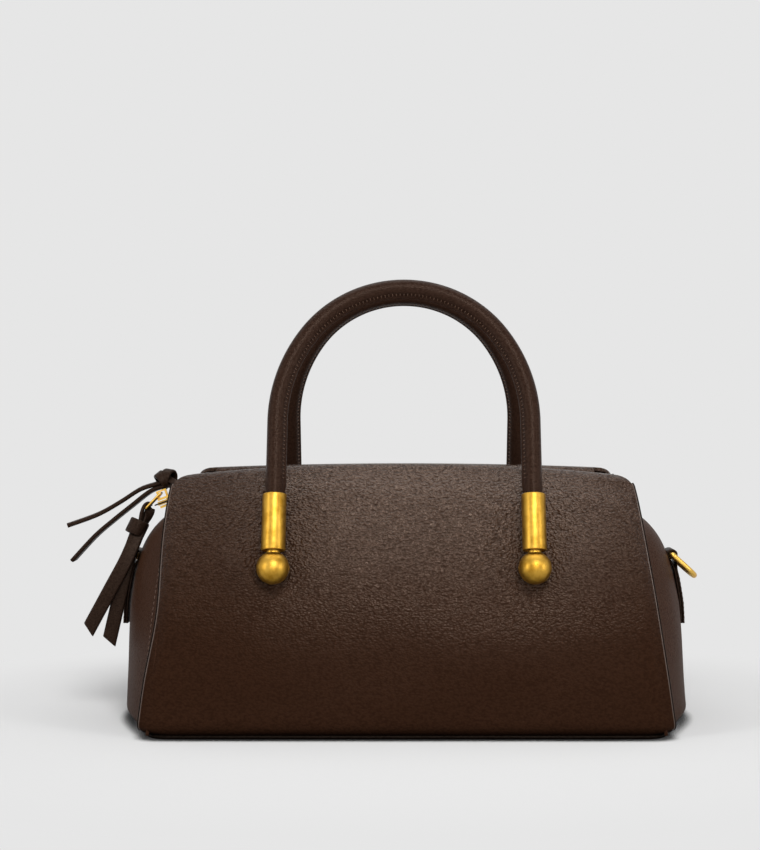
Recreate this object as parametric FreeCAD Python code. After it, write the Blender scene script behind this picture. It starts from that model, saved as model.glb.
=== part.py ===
"""Top handle bag: soft leather body with a zip mouth, two tube handles on brass ends,
knotted zip pulls and a D-ring at each end.

Frame: millimetres, +X to the right along the bag, +Y from front to rear, +Z up.
The origin is the centre of the underside of the base.
"""
import FreeCAD
import Part
import math
import os

V = FreeCAD.Vector
X_AXIS = V(1, 0, 0)
Y_AXIS = V(0, 1, 0)
Z_AXIS = V(0, 0, 1)

# Body of the bag
base_half_depth = 70.0        # centre plane to front panel at the base
ridge_half_depth = 38.5       # centre plane to the crest of the top fold
ridge_height = 134.5
panel_lean = 25.2             # how far the panel leans in on its way up
panel_belly = 1.5             # outward swell of the panel at mid height
panel_half_width = 133.4      # at the base
panel_half_width_top = 119.0  # at the height of the zip
panel_corner = 10.0           # lower corner radius
panel_top_corner = 14.0
fold_width = 6.0              # crest of the top fold to where the panel begins to turn
fold_drop = 4.5               # crest down to that place
fold_back = 4.5               # crest back to the fold's end
fold_end_drop = 2.5           # crest down to the fold's end
leather = 2.0                 # panel and gusset thickness
seam_gap = 0.5                # panel to gusset
seam_inset = 2.0              # gusset edge behind the panel's side edge
gusset_bulge = 19.2           # gusset crest beyond the panel's side edge, at its fullest
gusset_foot_bulge = 13.4      # the same at the base
gusset_full_height = 60.0     # where the gusset is fullest
gusset_fullness = 7.9         # power that keeps the gusset full up to its shoulder
gusset_round = 12.0           # rounding of the gusset into the base
gusset_drop = 3.2             # zip down to the gusset's top edge
base_thickness = 2.0
board_thickness = 2.0
board_inset = 6.0             # board edge inside the panels
lining_wall = 0.8
lining_ease = 2.0             # lining clear of the panels and beyond the mouth
fit_gap = 0.3                 # clearance between neighbouring pieces

# Mouth and zip
zip_height = 117.8            # middle of the zip tape
zip_thin = 0.8                # tape thickness
strip_thick = 1.6             # leather strip beside the tape
mouth_half_depth = 30.0       # centre plane to the hinge seam of the strips
mouth_end_inset = 19.0        # panel side edge to the end of the part that opens
strip_edge = 7.5              # centre plane to the strip's inner edge
tape_half_width = 11.0
teeth_half_width = 2.6
teeth_gap = 1.0               # free width between the two rows
teeth_height = 2.0
teeth_pitch = 2.5
zip_bend_inset = 1.0          # panel side edge to where the zip turns down
zip_slope = 20.0              # degrees
zip_tail = 16.0               # length of the sloped left end
facing_thick = 1.2
facing_drop = 6.0             # crest down to the facing's top edge
facing_set_in = 5.0           # crest to the facing's top edge, level
stop_length = 1.8
stop_play = 0.1

# Sliders, pullers and leather pulls
slider_length = 8.0
slider_width = 8.0
slider_plate = 1.2
slider_mouth = 3.0            # free height between the plates
upper_slider_run = 7.5        # from the bend, back along the level end
lower_slider_run = 10.5       # from the bend, down the slope
lower_puller_droop = 26.0     # degrees below the slope
bail_height = 3.9
bail_beam = 0.8
bail_shift = 1.2              # towards the puller's side
bail_width = 1.6
bail_span = 5.6
puller_wire = 0.7             # radius
puller_length = 11.0
puller_width = 5.6
pull_width = 8.2              # leather strip of the pulls
pull_thick = 2.4
upper_knot_half = V(7.8, 5.5, 6.0)
upper_knot_shift = V(-4.9, 8.4, 0.4)   # from the loop's end, the centre plane and the strip
lower_knot_half = V(6.0, 5.2, 4.85)
lower_knot_shift = V(-3.4, -5.6, -8.9)  # from the loop
link_room = 0.9               # free of the puller's wires beside the loop
upper_tail_reach = 53.0       # knot centre to the end of the upper pull's long tail, along
upper_tail_drop = 24.2        # and down
upper_tail_sag = 0.6          # below a straight line at its middle
under_tail_reach = 50.7       # the same for the tail under it
under_tail_drop = 42.0
under_tail_arch = 4.1         # above a straight line at its middle
under_tail_gap = 2.8          # below the long tail, in the knot
front_tail_reach = 24.4       # knot centre to the end of the lower pull's front tail, along
front_tail_drop = 54.2        # and down
back_tail_reach = 14.2
back_tail_drop = 60.8
tail_hold = 0.6               # how far the tails reach into the knot past its centre

# Handles and their brass ends
handle_half_width = 64.8
tube_radius = 4.6
core_radius = 3.5
tube_wall = 1.0
tube_play = 0.1               # tube in the ferrule
arch_rise = 72.0
haunch_turn = 36.55           # degrees of each haunch, before the crown begins
leg_top = 75.2                # ball centre to the start of the arch
handle_lean = 16.4            # degrees from upright, towards the centre
ball_height = 85.5
ball_radius = 8.15
ferrule_radius = 6.0
ferrule_bottom = 8.6          # from the ball centre
ferrule_length = 28.7
ferrule_floor = 2.5
neck_radius = 3.4
spigot_radius = 2.4
pin_radius = 1.2
pin_play = 0.05
eye_radius = 3.0
eye_width = 3.6
stud_radius = 1.6
handle_swing = 60.0           # degrees outward
washer_radius = 5.0
washer_thick = 1.0
nut_radius = 3.0
nut_height = 2.4

# D-rings and tabs
ring_wire = 1.6               # radius
ring_half_width = 8.2
ring_reach = 17.0
ring_droop = 42.0             # degrees below level
tab_layer = 1.3
tab_length = 36.5             # ring bar down to the tab's end
ring_drop = 32.3              # zip down to the ring bar

# Heights and ends that follow from the sizes above
gusset_top = zip_height - gusset_drop
ring_height = zip_height - ring_drop
tab_bottom = ring_height - tab_length
mouth_half_length = panel_half_width_top - mouth_end_inset
zip_bend = panel_half_width_top - zip_bend_inset
upper_slider_x = upper_slider_run - zip_bend


def half_depth(z):
    """Distance from the centre plane to the outer face of a panel at height z."""
    share = z / ridge_height
    return base_half_depth - panel_lean * share ** 2.2 + panel_belly * math.sin(math.pi * share)


def half_width(z):
    """Half width of a panel at height z."""
    return panel_half_width - (panel_half_width - panel_half_width_top) * z / zip_height


def gusset_crest(z):
    """Distance from the centre to the outermost line of a gusset at height z."""
    filled = min(1.0, z / gusset_full_height)
    bulge = gusset_foot_bulge + (gusset_bulge - gusset_foot_bulge) * filled
    bulge *= 1 - (z / gusset_top) ** gusset_fullness
    below = max(0.0, 1 - z / gusset_round)
    return half_width(z) - seam_inset + (bulge + seam_inset) * math.sqrt(max(0.0, 1 - below ** 2))


def spline(points):
    """Smooth edge through points."""
    curve = Part.BSplineCurve()
    curve.interpolate(points)
    return curve.toShape()


def face_of(edges):
    return Part.Face(Part.Wire(edges))


def polygon(points):
    return Part.Face(Part.makePolygon(points + [points[0]]))


def box(low, high):
    return Part.makeBox(high.x - low.x, high.y - low.y, high.z - low.z, low)


def cylinder(start, end, radius):
    return Part.makeCylinder(radius, (end - start).Length, start, end - start)


def mirror_y(shape):
    return shape.mirror(V(0, 0, 0), Y_AXIS)


def mirror_x(shape):
    return shape.mirror(V(0, 0, 0), X_AXIS)


def turned(shape, centre, axis, degrees):
    copy = shape.copy()
    copy.rotate(centre, axis, degrees)
    return copy


def fuse(shapes):
    return shapes[0].multiFuse(shapes[1:]).removeSplitter()


pieces = {}


def piece(name, *solids):
    """Keeps one solid, or several alike, under the name of the piece."""
    pieces[name] = solids[0] if len(solids) == 1 else Part.makeCompound(list(solids))


# Base: leather panel with bowed ends, and the stiff board above it
base_top = base_thickness
board_top = base_top + board_thickness


def bowed_plate(half_x, bow_x, half_y, low, high):
    """Flat plate whose two ends bow outward."""
    corners = [V(-half_x, -half_y, low), V(half_x, -half_y, low),
               V(half_x, half_y, low), V(-half_x, half_y, low)]
    outline = [Part.LineSegment(corners[0], corners[1]).toShape(),
               Part.Arc(corners[1], V(bow_x, 0, low), corners[2]).toShape(),
               Part.LineSegment(corners[2], corners[3]).toShape(),
               Part.Arc(corners[3], V(-bow_x, 0, low), corners[0]).toShape()]
    return face_of(outline).extrude(V(0, 0, high - low))


base_half_x = half_width(0) - seam_inset
piece("base_panel", bowed_plate(base_half_x, gusset_crest(base_top), half_depth(0), 0, base_top))
piece("base_board", bowed_plate(base_half_x - board_inset, gusset_crest(base_top) - 2 * board_inset,
                                half_depth(0) - board_inset, base_top, board_top))

# Front and rear panels: a thick profile run along the bag, cut to the panel's outline
profile_levels = [base_top] + [ridge_height * share for share in (0.15, 0.31, 0.49, 0.64, 0.78, 0.89)]
fold = [(ridge_half_depth + fold_width, ridge_height - fold_drop), (ridge_half_depth, ridge_height),
        (ridge_half_depth - fold_back, ridge_height - fold_end_drop)]
profile = [V(0, -half_depth(z), z) for z in profile_levels] + [V(0, -y, z) for y, z in fold]


def inner_points(points, thickness):
    """Points set back by the thickness, square to the line through their neighbours."""
    moved = []
    for index, point in enumerate(points):
        before = points[max(index - 1, 0)]
        after = points[min(index + 1, len(points) - 1)]
        along = after - before
        along.normalize()
        moved.append(point + V(0, along.z, -along.y) * thickness)
    return moved


inner = inner_points(profile, leather)
inner[0] = V(0, profile[0].y + leather, base_top)
panel_section = face_of([spline(profile), Part.makeLine(profile[-1], inner[-1]),
                         spline(inner), Part.makeLine(inner[0], profile[0])])
panel_run = panel_section.extrude(V(2 * panel_half_width, 0, 0))
panel_run.translate(V(-panel_half_width, 0, 0))

# Outline: sides drawn in towards the top, lower corners eased, top corners round
crown = ridge_height + 2.0
top_half = half_width(crown)
outline_depth = base_half_depth + 30.0
side_points = [V(-half_width(0), -outline_depth, 0), V(half_width(0), -outline_depth, 0),
               V(top_half, -outline_depth, crown), V(-top_half, -outline_depth, crown)]
outline = polygon(side_points).extrude(V(0, outline_depth, 0))
side_edges = [edge for edge in outline.Edges if edge.BoundBox.YLength > outline_depth / 2]
top_edges = [edge for edge in side_edges if edge.CenterOfMass.z > ridge_height / 2]
low_edges = [edge for edge in side_edges if edge.CenterOfMass.z < ridge_height / 2]
outline = outline.makeFillet(panel_top_corner, top_edges).makeFillet(panel_corner, low_edges)
front_panel = panel_run.common(outline)

# Facings: the inner side of each top fold, from the fold down to the mouth
facing_foot = mouth_half_depth + strip_thick
facing_low = zip_height - zip_thin
facing_high = ridge_height - facing_drop
facing_head = ridge_half_depth - facing_set_in
facing_half_length = half_width(zip_height) - panel_top_corner / 2
facing_points = [V(-facing_half_length, -facing_foot, facing_low),
                 V(-facing_half_length, -facing_head, facing_high),
                 V(-facing_half_length, -facing_head - facing_thick, facing_high),
                 V(-facing_half_length, -facing_foot - facing_thick, facing_low)]
front_facing = polygon(facing_points).extrude(V(2 * facing_half_length, 0, 0))
piece("front_facing", front_facing)
piece("rear_facing", mirror_y(front_facing))

# Gussets: puffed ends lofted through level arcs, held behind the panel edges
gusset_shares = (0.04, 0.07, 0.12, 0.23, 0.37, 0.51, 0.65, 0.77, 0.865, 0.942, 1.0)
gusset_levels = [base_top] + [gusset_top * share for share in gusset_shares]


def gusset_section(z):
    """Level slice of the right gusset: outer arc, inner arc and two short ends."""
    edge_x = half_width(z) - seam_inset
    edge_y = half_depth(z) - leather - seam_gap
    crest = max(gusset_crest(z), edge_x + 0.5)
    outer = [V(edge_x, -edge_y, z), V(crest, 0, z), V(edge_x, edge_y, z)]
    back = [point - V(leather, 0, 0) for point in outer]
    return Part.Wire([Part.Arc(*outer).toShape(), Part.makeLine(outer[2], back[2]),
                      Part.Arc(*reversed(back)).toShape(), Part.makeLine(back[0], outer[0])])


right_gusset = Part.makeLoft([gusset_section(z) for z in gusset_levels], True)
piece("right_gusset", right_gusset)
piece("left_gusset", mirror_x(right_gusset))

# Lining: tapered sack from the board up to the mouth
lining_top = zip_height - zip_thin - fit_gap


def sack(inset, low, high):
    """Tapered block between the board and the mouth, drawn in by an inset."""
    foot_x = base_half_x - board_inset - inset
    foot_y = half_depth(0) - leather - lining_ease - inset
    head_x = mouth_half_length + lining_ease - inset
    head_y = facing_foot + facing_thick - inset
    rings = []
    for x, y, z in ((foot_x, foot_y, low), (head_x, head_y, high)):
        rings.append(Part.makePolygon([V(-x, -y, z), V(x, -y, z), V(x, y, z), V(-x, y, z), V(-x, -y, z)]))
    return Part.makeLoft(rings, True, True)


lining_floor = board_top + lining_wall
hollow = sack(lining_wall, lining_floor, lining_top + fit_gap)
piece("lining", sack(0.0, board_top, lining_top).cut(hollow))

# Zip: two halves that fold up with the mouth, and fixed ends over the gussets
tape_low = zip_height - zip_thin / 2
tape_high = zip_height + zip_thin / 2
strip_high = tape_high + strip_thick
hinge_height = tape_high + strip_thick / 2
end_start = mouth_half_length + fit_gap


def teeth_row(start, end):
    """One row of teeth in front of the centre plane, from start to end along X."""
    root = -teeth_half_width
    spine = root + (teeth_half_width - teeth_gap / 2) / 2
    tip = -teeth_gap / 2
    count = int((end - start) / teeth_pitch)
    low = zip_height - teeth_height / 2
    points = [V(start, root, low), V(end, root, low), V(end, spine, low)]
    for index in range(count - 1, -1, -1):
        left = start + (index + 0.25) * teeth_pitch
        right = left + teeth_pitch / 2
        points += [V(right, spine, low), V(right, tip, low), V(left, tip, low), V(left, spine, low)]
    points.append(V(start, spine, low))
    return polygon(points).extrude(V(0, 0, teeth_height))


front_strip = fuse([
    box(V(-mouth_half_length, -mouth_half_depth, tape_high), V(mouth_half_length, -strip_edge, strip_high)),
    cylinder(V(-mouth_half_length, -mouth_half_depth, hinge_height),
             V(mouth_half_length, -mouth_half_depth, hinge_height), strip_thick / 2)])
front_tape = box(V(-mouth_half_length, -tape_half_width, tape_low),
                 V(mouth_half_length, -teeth_half_width, tape_high))
front_teeth = teeth_row(-mouth_half_length, mouth_half_length)
for name, solid in (("zip_strip", front_strip), ("zip_tape", front_tape), ("zip_teeth", front_teeth)):
    piece("front_" + name, solid)
    piece("rear_" + name, mirror_y(solid))

bend = V(zip_bend, 0, zip_height)
slope_end = V(zip_bend + zip_tail * math.cos(math.radians(zip_slope)), 0,
              zip_height - zip_tail * math.sin(math.radians(zip_slope)))
tape_points = [V(end_start, -tape_half_width, tape_low), V(zip_bend, -tape_half_width, tape_low),
               slope_end + V(0, -tape_half_width, -zip_thin / 2),
               slope_end + V(0, -tape_half_width, zip_thin / 2),
               V(zip_bend, -tape_half_width, tape_high), V(end_start, -tape_half_width, tape_high)]
sloped_tape = polygon(tape_points).extrude(V(0, tape_half_width - teeth_half_width, 0))
end_strip = box(V(end_start, -facing_foot + fit_gap, tape_high), V(zip_bend, -strip_edge, strip_high))
flat_teeth = teeth_row(end_start, zip_bend - teeth_pitch / 2)
tail_end = zip_bend + zip_tail - teeth_pitch
sloped_teeth = turned(teeth_row(zip_bend + teeth_pitch / 2, tail_end), bend, Y_AXIS, zip_slope)
stop_span = teeth_half_width - stop_play


def stop_from(start):
    """Stop across both rows of teeth, from start along X."""
    return box(V(start, -stop_span, zip_height - teeth_height / 2),
               V(start + stop_length, stop_span, zip_height + teeth_height / 2))


def left_piece(name, *solids):
    """Keeps solids drawn for the front of the right end as the left end's front and rear."""
    moved = [mirror_x(solid) for solid in solids]
    piece(name, *moved, *[mirror_y(solid) for solid in moved])


# Left end: the zip runs on down the slope. Right end: it stops short, tucked in between the panels.
level_end = zip_bend - teeth_pitch
level_tape = box(V(end_start, -tape_half_width, tape_low), V(zip_bend, -teeth_half_width, tape_high))
level_teeth = teeth_row(end_start, level_end)
left_piece("left_zip_end_tape", sloped_tape)
left_piece("left_top_end", end_strip)
left_piece("left_zip_end_teeth", flat_teeth, sloped_teeth)
piece("right_zip_end_tape", level_tape, mirror_y(level_tape))
piece("right_top_end", end_strip, mirror_y(end_strip))
piece("right_zip_end_teeth", level_teeth, mirror_y(level_teeth))
sloped_stop = turned(stop_from(tail_end + stop_play), bend, Y_AXIS, zip_slope)
piece("zip_stops", stop_from(level_end + stop_play), mirror_x(sloped_stop))

# Slider: two plates joined by a web that runs between the teeth, with a bail on top
bail_low = slider_mouth / 2 + slider_plate
bar_play = 0.2
bar_height = bail_low + bail_height - bail_beam - puller_wire - bar_play
bar_offset = -bail_shift - puller_wire


def slider_at(place):
    half = slider_length / 2
    side = slider_width / 2
    web = teeth_gap / 4
    bail_inner = bail_span / 2 - 1.0
    top_plate = box(V(-half, -side, slider_mouth / 2), V(half, side, bail_low))
    bottom_plate = box(V(-half, -side, -bail_low), V(half, side, -slider_mouth / 2))
    joint_web = box(V(0, -web, -slider_mouth / 2), V(half, web, slider_mouth / 2))
    bail = box(V(-bail_span / 2, -bail_width / 2, bail_low),
               V(bail_span / 2, bail_width / 2, bail_low + bail_height))
    window = box(V(-bail_inner, -bail_width, bail_low),
                 V(bail_inner, bail_width, bail_low + bail_height - bail_beam))
    bail = bail.cut(window)
    bail.translate(V(-bail_shift, 0, 0))
    slider = fuse([top_plate, bottom_plate, joint_web, bail])
    slider.translate(place)
    return slider


def puller_at(place, droop):
    """Closed wire link that runs to the left from the bar in the bail, and droops."""
    side = puller_width / 2
    near = [V(0, -side, 0), V(0, side, 0)]
    far = [point - V(puller_length, 0, 0) for point in near]
    wires = [cylinder(near[0], near[1], puller_wire), cylinder(far[0], far[1], puller_wire)]
    wires += [cylinder(far[index], near[index], puller_wire) for index in (0, 1)]
    wires += [Part.makeSphere(puller_wire, corner) for corner in near + far]
    link = turned(fuse(wires), V(0, 0, 0), Y_AXIS, -droop)
    link.translate(place + V(bar_offset, 0, bar_height))
    return link


left_bend = V(-zip_bend, 0, zip_height)
upper_place = V(upper_slider_x, 0, zip_height)
lower_place = V(-zip_bend - lower_slider_run, 0, zip_height)
piece("upper_slider", slider_at(upper_place))
piece("upper_puller", puller_at(upper_place, 0.0))
piece("lower_slider", turned(slider_at(lower_place), left_bend, Y_AXIS, -zip_slope))
piece("lower_puller", turned(puller_at(lower_place, lower_puller_droop), left_bend, Y_AXIS, -zip_slope))

# Knotted pulls: a loop round the end bar of the puller, a knot, and two flat tails
upper_loop = upper_place + V(bar_offset - puller_length, 0, bar_height)
droop_turn = FreeCAD.Rotation(Y_AXIS, -lower_puller_droop)
slope_turn = FreeCAD.Rotation(Y_AXIS, -zip_slope)
lower_loop = lower_place + V(bar_offset, 0, bar_height) + droop_turn.multVec(V(-puller_length, 0, 0))
lower_loop = left_bend + slope_turn.multVec(lower_loop - left_bend)
loop_radius = puller_wire + 0.15
loop_outer = loop_radius + 1.4
loop_half = puller_width / 2 - puller_wire - 0.2


def cushion(centre, half):
    """Block with well rounded edges."""
    block = box(centre - half, centre + half)
    return block.makeFillet(0.8 * min(half.x, half.y, half.z), block.Edges)


def knot_at(loop, centre, half):
    """Knot fused to the loop that holds it on the puller, clear of the puller's two side wires."""
    start = loop - V(0, loop_half, 0)
    end = loop + V(0, loop_half, 0)
    neck_end = loop + (centre - loop) * 0.6
    body = fuse([cushion(centre, half), cylinder(start, end, loop_outer),
                 cylinder(loop, neck_end, loop_outer - 0.4)])
    reach = V(0, pull_width, 0)
    body = body.cut(cylinder(start - reach, end + reach, loop_radius))
    room_half = V(0, puller_wire + link_room, pull_width)
    for side in (-1, 1):
        wire = loop + V(0, side * puller_width / 2, 0)
        low = wire - room_half - V(loop_outer / 2, 0, 0)
        high = wire + room_half + V(3 * half.x, 0, 0)
        body = body.cut(box(low, high))
    return body


def drooping_tail(centre, start_drop, reach, drop, arch):
    """Flat strip seen on edge, bent along an arc from the knot's centre out and down."""
    first = centre + V(tail_hold, -pull_width / 2, -start_drop)
    last = centre + V(-reach, -pull_width / 2, -drop)
    points = [first, (first + last) * 0.5 + V(0, 0, arch), last]
    under = [point - V(0, 0, pull_thick) for point in points]
    section = face_of([Part.Arc(*points).toShape(), Part.makeLine(points[2], under[2]),
                       Part.Arc(*reversed(under)).toShape(), Part.makeLine(under[0], points[0])])
    return section.extrude(V(0, pull_width, 0))


def hanging_tail(centre, reach, drop, low_y):
    """Flat strip seen face on, from the knot's centre out and down, cut at a slant."""
    first = V(centre.x + tail_hold, low_y, centre.z - tail_hold)
    last = V(centre.x - reach, low_y, centre.z - drop)
    along = last - first
    along.normalize()
    across = V(-along.z, 0, along.x) * (pull_width / 2)
    slant = along * (pull_width * 0.4)
    outline = polygon([first + across, first - across, last - across + slant, last + across])
    return outline.extrude(V(0, pull_thick, 0))


upper_centre = V(upper_loop.x, 0, strip_high + upper_knot_half.z) + upper_knot_shift
upper_knot = knot_at(upper_loop, upper_centre, upper_knot_half)
upper_tails = [drooping_tail(upper_centre, 0.0, upper_tail_reach, upper_tail_drop, -upper_tail_sag),
               drooping_tail(upper_centre, under_tail_gap, under_tail_reach, under_tail_drop,
                             under_tail_arch)]
lower_centre = V(lower_loop.x, 0, lower_loop.z) + lower_knot_shift
lower_knot = knot_at(lower_loop, lower_centre, lower_knot_half)
lower_tail_y = lower_centre.y - lower_knot_half.y - pull_thick + fit_gap
front_tail_y = lower_tail_y - pull_thick - fit_gap
lower_tails = [hanging_tail(lower_centre, front_tail_reach, front_tail_drop, front_tail_y),
               hanging_tail(lower_centre, back_tail_reach, back_tail_drop, lower_tail_y)]
piece("upper_pull_knot", upper_knot)
piece("upper_pull_tails", *[tail.cut(upper_knot) for tail in upper_tails])
piece("lower_pull_knot", lower_knot)
piece("lower_pull_tails", *[tail.cut(lower_knot) for tail in lower_tails])

# Handles: leather tube over a rope core, on a ferrule and a ball at each end.
# They are drawn upright with the left or right ball centre at height zero, then leaned.
panel_slope = math.atan2(half_depth(ball_height - 5.0) - half_depth(ball_height + 5.0), 10.0)
stud_height = ball_height - (ball_radius + fit_gap) * math.sin(panel_slope)
outward = V(0, -math.cos(panel_slope), math.sin(panel_slope))
stud_foot = V(0, -half_depth(stud_height), stud_height)
pivot = stud_foot + outward * (ball_radius + fit_gap)

turn_radians = math.radians(haunch_turn)
meet = V(math.cos(turn_radians), 0, math.sin(turn_radians))
centres_apart = (arch_rise - handle_half_width) / (meet.x + meet.z - 1)
haunch_radius = handle_half_width + centres_apart * meet.x
crown_radius = arch_rise - centres_apart * meet.z
haunch_centre = V(handle_half_width - haunch_radius, 0, leg_top)
crown_centre = V(0, 0, leg_top + arch_rise - crown_radius)
meet_point = haunch_centre + meet * haunch_radius
half_turn = turn_radians / 2
haunch_middle = haunch_centre + V(math.cos(half_turn), 0, math.sin(half_turn)) * haunch_radius
crown_top = crown_centre + V(0, 0, crown_radius)
ferrule_top = ferrule_bottom + ferrule_length
leg_foot = ferrule_bottom + ferrule_floor + 0.2


def left_of(point):
    return V(-point.x, point.y, point.z)


def handle_tube(radius):
    """Solid along the legs and the three-centred arch of a handle."""
    foot = V(handle_half_width, 0, leg_foot)
    spring = V(handle_half_width, 0, leg_top)
    path = Part.Wire([
        Part.makeLine(foot, spring),
        Part.Arc(spring, haunch_middle, meet_point).toShape(),
        Part.Arc(meet_point, crown_top, left_of(meet_point)).toShape(),
        Part.Arc(left_of(meet_point), left_of(haunch_middle), left_of(spring)).toShape(),
        Part.makeLine(left_of(spring), left_of(foot))])
    ring = Part.Wire(Part.Circle(foot, Z_AXIS, radius).toShape())
    return path.makePipeShell([ring], True, False)


def leaned(shape):
    """Leans an upright handle piece towards the centre and sets it on its pivot."""
    copy = turned(shape, V(0, 0, 0), X_AXIS, -handle_lean)
    copy.translate(pivot)
    return copy


cover = handle_tube(tube_radius).cut(handle_tube(tube_radius - tube_wall))
core = handle_tube(core_radius)

ferrule = cylinder(V(0, 0, ferrule_bottom), V(0, 0, ferrule_top), ferrule_radius)
bore_floor = V(0, 0, ferrule_bottom + ferrule_floor)
ferrule_bore = cylinder(bore_floor, V(0, 0, ferrule_top + 1), tube_radius + tube_play)
ferrule = ferrule.cut(ferrule_bore)
ferrule = ferrule.cut(cylinder(V(0, 0, ferrule_bottom - 1), V(0, 0, ferrule_top), spigot_radius + pin_play))

# Ball: neck and spigot above, a slot behind and below that lets it turn on the stud's eye
rest_angle = -math.degrees(panel_slope) + handle_lean
slot_half = eye_width / 2 + fit_gap
slot_reach = ball_radius + 3.0


def slot_arm(degrees):
    """Room for the stud when it leaves the ball at this angle below the rear."""
    arm = box(V(-slot_half, 0, -stud_radius - fit_gap), V(slot_half, slot_reach, stud_radius + fit_gap))
    return turned(arm, V(0, 0, 0), X_AXIS, degrees)


def slot_wedge(start, end):
    """Room swept by the stud between two angles."""
    points = [V(-slot_half, 0, 0)]
    for step in range(5):
        angle = math.radians(start + (end - start) * step / 4)
        points.append(V(-slot_half, slot_reach * 1.2 * math.cos(angle), slot_reach * 1.2 * math.sin(angle)))
    return polygon(points).extrude(V(2 * slot_half, 0, 0))


ball = fuse([Part.makeSphere(ball_radius),
             cylinder(V(0, 0, 0), V(0, 0, ferrule_bottom), neck_radius),
             cylinder(V(0, 0, 0), V(0, 0, ferrule_bottom + ferrule_floor), spigot_radius)])
eye_room = cylinder(V(-slot_half, 0, 0), V(slot_half, 0, 0), eye_radius + fit_gap)
for room in (eye_room, slot_arm(rest_angle), slot_arm(rest_angle - handle_swing),
             slot_wedge(rest_angle, rest_angle - handle_swing)):
    ball = ball.cut(room)
pin_half = ball_radius - 0.6
ball = ball.cut(cylinder(V(-ball_radius, 0, 0), V(ball_radius, 0, 0), pin_radius + pin_play))
pin = cylinder(V(-pin_half, 0, 0), V(pin_half, 0, 0), pin_radius)

# Stud: eye on the pin, shank through the panel, washer and nut inside
inward = outward * -1.0
shank_length = ball_radius + 2 * fit_gap + leather + washer_thick + nut_height
eye = cylinder(V(-eye_width / 2, 0, 0), V(eye_width / 2, 0, 0), eye_radius)
shank = cylinder(V(0, 0, 0), inward * shank_length, stud_radius)
stud = fuse([eye, shank]).cut(cylinder(V(-eye_width, 0, 0), V(eye_width, 0, 0), pin_radius + pin_play))
washer_start = ball_radius + fit_gap + leather + fit_gap
washer_end = washer_start + washer_thick
nut_end = washer_end + nut_height
washer = cylinder(inward * washer_start, inward * washer_end, washer_radius)
washer = washer.cut(cylinder(V(0, 0, 0), inward * nut_end, stud_radius + pin_play))
nut = cylinder(inward * washer_end, inward * nut_end, nut_radius)
nut = nut.cut(cylinder(V(0, 0, 0), inward * (nut_end + 1), stud_radius + pin_play))
panel_hole = cylinder(V(0, 0, 0), inward * nut_end, stud_radius + 0.1)

sides = {"left": V(-handle_half_width, 0, 0), "right": V(handle_half_width, 0, 0)}
piece("front_handle_cover", leaned(cover))
piece("rear_handle_cover", mirror_y(leaned(cover)))
piece("front_handle_core", leaned(core))
piece("rear_handle_core", mirror_y(leaned(core)))
fasteners = {"handle_studs": stud, "stud_washers": washer, "stud_nuts": nut}
front_fasteners = {name: [] for name in fasteners}
front_pins = []
for side, shift in sides.items():
    for name, shape in (("ferrule", ferrule), ("ball", ball)):
        solid = leaned(shape)
        solid.translate(shift)
        piece("front_" + side + "_" + name, solid)
        piece("rear_" + side + "_" + name, mirror_y(solid))
    solid = pin.copy()
    solid.translate(pivot + shift)
    front_pins.append(solid)
    for name, shape in fasteners.items():
        solid = shape.copy()
        solid.translate(pivot + shift)
        front_fasteners[name].append(solid)
    hole = panel_hole.copy()
    hole.translate(pivot + shift)
    front_panel = front_panel.cut(hole)
piece("front_handle_pins", *front_pins)
piece("rear_handle_pins", *[mirror_y(solid) for solid in front_pins])
for name, solids in front_fasteners.items():
    piece(name, *solids, *[mirror_y(solid) for solid in solids])
piece("front_panel", front_panel)
piece("rear_panel", mirror_y(front_panel))

# D-rings: a wire D whose straight bar lies in the loop of a folded leather tab
loop_room = ring_wire + fit_gap
tab_loop = loop_room + tab_layer
ring_centre = V(gusset_crest(ring_height) + tab_loop + fit_gap, 0, ring_height)


def d_ring():
    """D of round wire in the level plane, its bar along Y at the origin."""
    near = [V(0, -ring_half_width, 0), V(0, ring_half_width, 0)]
    bow_start = ring_reach - ring_half_width
    far = [point + V(bow_start, 0, 0) for point in near]
    bow = Part.Wire(Part.Arc(far[0], V(ring_reach, 0, 0), far[1]).toShape())
    bow_ring = Part.Wire(Part.Circle(far[0], X_AXIS, ring_wire).toShape())
    wires = [cylinder(near[0], near[1], ring_wire), cylinder(near[0], far[0], ring_wire),
             cylinder(near[1], far[1], ring_wire), bow.makePipeShell([bow_ring], True, False)]
    wires += [Part.makeSphere(ring_wire, corner) for corner in near]
    return fuse(wires)


right_ring = turned(d_ring(), V(0, 0, 0), Y_AXIS, ring_droop)
right_ring.translate(ring_centre)
piece("right_d_ring", right_ring)
piece("left_d_ring", mirror_x(right_ring))

# Tab: two layers down the gusset, closed round the bar above, cut back beside the ring's sides
tab_half = ring_half_width - ring_wire - fit_gap
tab_levels = [tab_bottom, (tab_bottom + ring_height) / 2, ring_height]
back_line = [V(gusset_crest(z) + fit_gap, -tab_half, z) for z in tab_levels]
front_line = [point + V(2 * tab_layer, 0, 0) for point in back_line]
strap = face_of([Part.Arc(*back_line).toShape(), Part.makeLine(back_line[2], front_line[2]),
                 Part.Arc(*reversed(front_line)).toShape(),
                 Part.makeLine(front_line[0], back_line[0])]).extrude(V(0, 2 * tab_half, 0))
loop_start = ring_centre - V(0, tab_half, 0)
loop_end = ring_centre + V(0, tab_half, 0)
right_tab = fuse([strap, cylinder(loop_start, loop_end, tab_loop)])
right_tab = right_tab.cut(cylinder(loop_start, loop_end, loop_room))
piece("right_d_tab", right_tab)
piece("left_d_tab", mirror_x(right_tab))

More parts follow.
